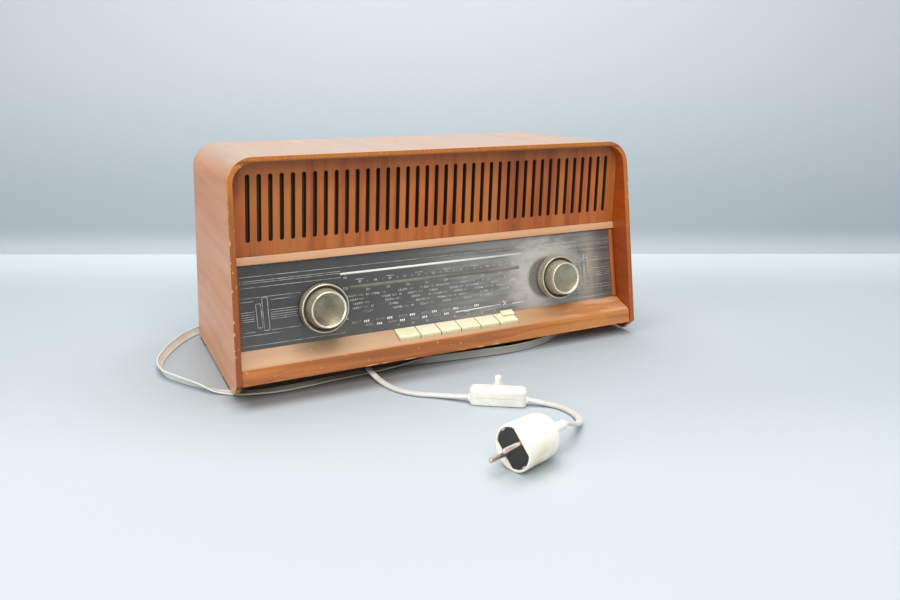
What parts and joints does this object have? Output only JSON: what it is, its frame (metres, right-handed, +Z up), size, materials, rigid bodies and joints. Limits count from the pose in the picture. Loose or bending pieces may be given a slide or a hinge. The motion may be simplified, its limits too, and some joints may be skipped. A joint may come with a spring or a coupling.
{
  "type": "table radio receiver",
  "caption": "Veneered table radio with a slotted baffle, a glass dial between two pairs of knobs, piano keys, a switched mains lead and a ribbon aerial lead.",
  "frame": {"origin": "middle of the cabinet's footprint, on the table", "axes": "+X to the right seen from the front, +Y to the back, +Z up"},
  "size_m": [0.5387, 0.5905, 0.235],
  "materials": {
    "veneer": "satin",
    "plain_wood": "matte",
    "felt": "matte",
    "hardboard": "matte",
    "plinth_wood": "satin",
    "pale_wood": "satin",
    "baffle_wood": "satin",
    "cloth": "matte",
    "screw_steel": "satin",
    "dial_glass": "gloss",
    "white_paint": "matte",
    "plain_steel": "satin",
    "red_plastic": "satin",
    "drum_plastic": "satin",
    "lamp_glass": "gloss",
    "knob_metal": "satin",
    "ivory": "gloss",
    "brown_plastic": "satin",
    "chassis_steel": "satin",
    "brass": "satin",
    "core_iron": "matte",
    "valve_glass": "gloss",
    "can_aluminium": "satin",
    "ferrite": "matte",
    "speaker_metal": "satin",
    "cone_paper": "matte",
    "lead_plastic": "satin",
    "white_plastic": "gloss",
    "plug_plastic": "gloss",
    "insert_plastic": "satin",
    "pin_nickel": "polished",
    "ribbon_plastic": "satin"
  },
  "bodies": {
    "cabinet": {"cabinet_shell": "veneer", "back_battens": "plain_wood", "glides": "felt", "bottom_board": "hardboard", "front_plinth": "plinth_wood", "divider_strip": "pale_wood", "dial_battens": "pale_wood", "speaker_baffle": "baffle_wood", "grille_cloth": "cloth", "back_cover": "hardboard", "back_screws": "screw_steel", "dial_glass": "dial_glass", "dial_backplate": "white_paint", "pointer_rails": "plain_steel", "dial_lamps": "lamp_glass", "volume_pot": "plain_steel", "tuning_bearing": "plain_steel", "key_switch_unit": "brown_plastic", "chassis": "chassis_steel", "tuning_capacitor": "plain_steel", "mains_transformer": "core_iron", "output_transformer": "core_iron", "valves": "valve_glass", "screening_cans": "can_aluminium", "ferrite_rod": "ferrite", "socket_panel": "brown_plastic", "left_speaker": "speaker_metal", "right_speaker": "speaker_metal", "speaker_cones": "cone_paper", "mains_gland": "lead_plastic", "mains_lead_rear": "lead_plastic", "mains_coil": "lead_plastic", "mains_lead_front": "lead_plastic", "mains_lead_plug": "lead_plastic", "switch_base": "white_plastic", "switch_cover": "white_plastic", "plug_body": "plug_plastic", "plug_insert": "insert_plastic", "plug_contacts": "pin_nickel", "aerial_lead": "ribbon_plastic", "aerial_plugs": "plug_plastic"},
    "volume_knob": {"left_inner_knob": "knob_metal", "left_inner_shaft": "plain_steel"},
    "tone_knob": {"left_outer_knob": "knob_metal", "left_outer_shaft": "plain_steel"},
    "am_tuning_knob": {"right_inner_knob": "knob_metal", "right_inner_shaft": "plain_steel"},
    "fm_tuning_knob": {"right_outer_knob": "knob_metal", "right_outer_shaft": "plain_steel"},
    "fm_pointer": {"fm_pointer": "red_plastic"},
    "am_pointer": {"am_pointer": "red_plastic"},
    "drive_drum": {"drive_drum": "drum_plastic"},
    "tuning_rotor": {"tuning_rotor": "brass"},
    "key_1": {"key_1": "ivory"},
    "key_2": {"key_2": "ivory"},
    "key_3": {"key_3": "ivory"},
    "key_4": {"key_4": "ivory"},
    "key_5": {"key_5": "ivory"},
    "key_6": {"key_6": "ivory"},
    "switch_button": {"switch_button": "white_plastic"}
  },
  "joints": [
    {"name": "volume_turn", "type": "hinge", "parent": "cabinet", "child": "volume_knob", "pos_m": [-0.144, -0.0793, 0.07421], "axis": [0, 0.9914, -0.1305], "range_deg": [-135, 135]},
    {"name": "tone_turn", "type": "hinge", "parent": "cabinet", "child": "tone_knob", "pos_m": [-0.144, -0.0793, 0.07421], "axis": [0, 0.9914, -0.1305], "range_deg": [-135, 135]},
    {"name": "am_tuning_turn", "type": "hinge", "parent": "cabinet", "child": "am_tuning_knob", "pos_m": [0.144, -0.0793, 0.07421], "axis": [0, 0.9914, -0.1305], "range_deg": [-570, 570]},
    {"name": "fm_tuning_turn", "type": "hinge", "parent": "cabinet", "child": "fm_tuning_knob", "pos_m": [0.144, -0.0793, 0.07421], "axis": [0, 0.9914, -0.1305], "range_deg": [-570, 570]},
    {"name": "am_pointer_slide", "type": "slide", "parent": "cabinet", "child": "am_pointer", "axis": [1, 0, 0], "range_m": [-0.1, 0.1]},
    {"name": "fm_pointer_slide", "type": "slide", "parent": "cabinet", "child": "fm_pointer", "axis": [1, 0, 0], "range_m": [-0.1, 0.1]},
    {"name": "drum_turn", "type": "hinge", "parent": "cabinet", "child": "drive_drum", "pos_m": [0.04, -0.05, 0.088], "axis": [0, 1, 0], "range_deg": [-228.5, 228.5]},
    {"name": "rotor_turn", "type": "hinge", "parent": "cabinet", "child": "tuning_rotor", "pos_m": [0.04, -0.015, 0.088], "axis": [0, 1, 0], "range_deg": [-90, 90]},
    {"name": "key_1_press", "type": "hinge", "parent": "cabinet", "child": "key_1", "pos_m": [-0.05405, -0.039, 0.037], "axis": [1, 0, 0], "range_deg": [0, 4.5], "stiffness_Nm_per_rad": 1.5, "springref_deg": -2.86},
    {"name": "key_2_press", "type": "hinge", "parent": "cabinet", "child": "key_2", "pos_m": [-0.02955, -0.039, 0.037], "axis": [1, 0, 0], "range_deg": [0, 4.5], "stiffness_Nm_per_rad": 1.5, "springref_deg": -2.86},
    {"name": "key_3_press", "type": "hinge", "parent": "cabinet", "child": "key_3", "pos_m": [-0.00505, -0.039, 0.037], "axis": [1, 0, 0], "range_deg": [0, 4.5], "stiffness_Nm_per_rad": 1.5, "springref_deg": -2.86},
    {"name": "key_4_press", "type": "hinge", "parent": "cabinet", "child": "key_4", "pos_m": [0.01945, -0.039, 0.037], "axis": [1, 0, 0], "range_deg": [0, 4.5], "stiffness_Nm_per_rad": 1.5, "springref_deg": -2.86},
    {"name": "key_5_press", "type": "hinge", "parent": "cabinet", "child": "key_5", "pos_m": [0.04395, -0.039, 0.037], "axis": [1, 0, 0], "range_deg": [0, 4.5], "stiffness_Nm_per_rad": 1.5, "springref_deg": -2.86},
    {"name": "key_6_press", "type": "hinge", "parent": "cabinet", "child": "key_6", "pos_m": [0.06845, -0.039, 0.037], "axis": [1, 0, 0], "range_deg": [0, 4.5], "stiffness_Nm_per_rad": 1.5, "springref_deg": -2.86},
    {"name": "switch_press", "type": "slide", "parent": "cabinet", "child": "switch_button", "axis": [0, 0, -1], "range_m": [0, 0.003], "stiffness_N_per_m": 1000, "springref_m": -0.001}
  ],
  "couplings": [
    {"joint": "am_pointer_slide", "follows": "am_tuning_turn", "m_per_rad": 0.01},
    {"joint": "drum_turn", "follows": "am_tuning_turn", "ratio": 0.4},
    {"joint": "rotor_turn", "follows": "am_tuning_turn", "ratio": 0.1578},
    {"joint": "fm_pointer_slide", "follows": "fm_tuning_turn", "m_per_rad": 0.01}
  ]
}
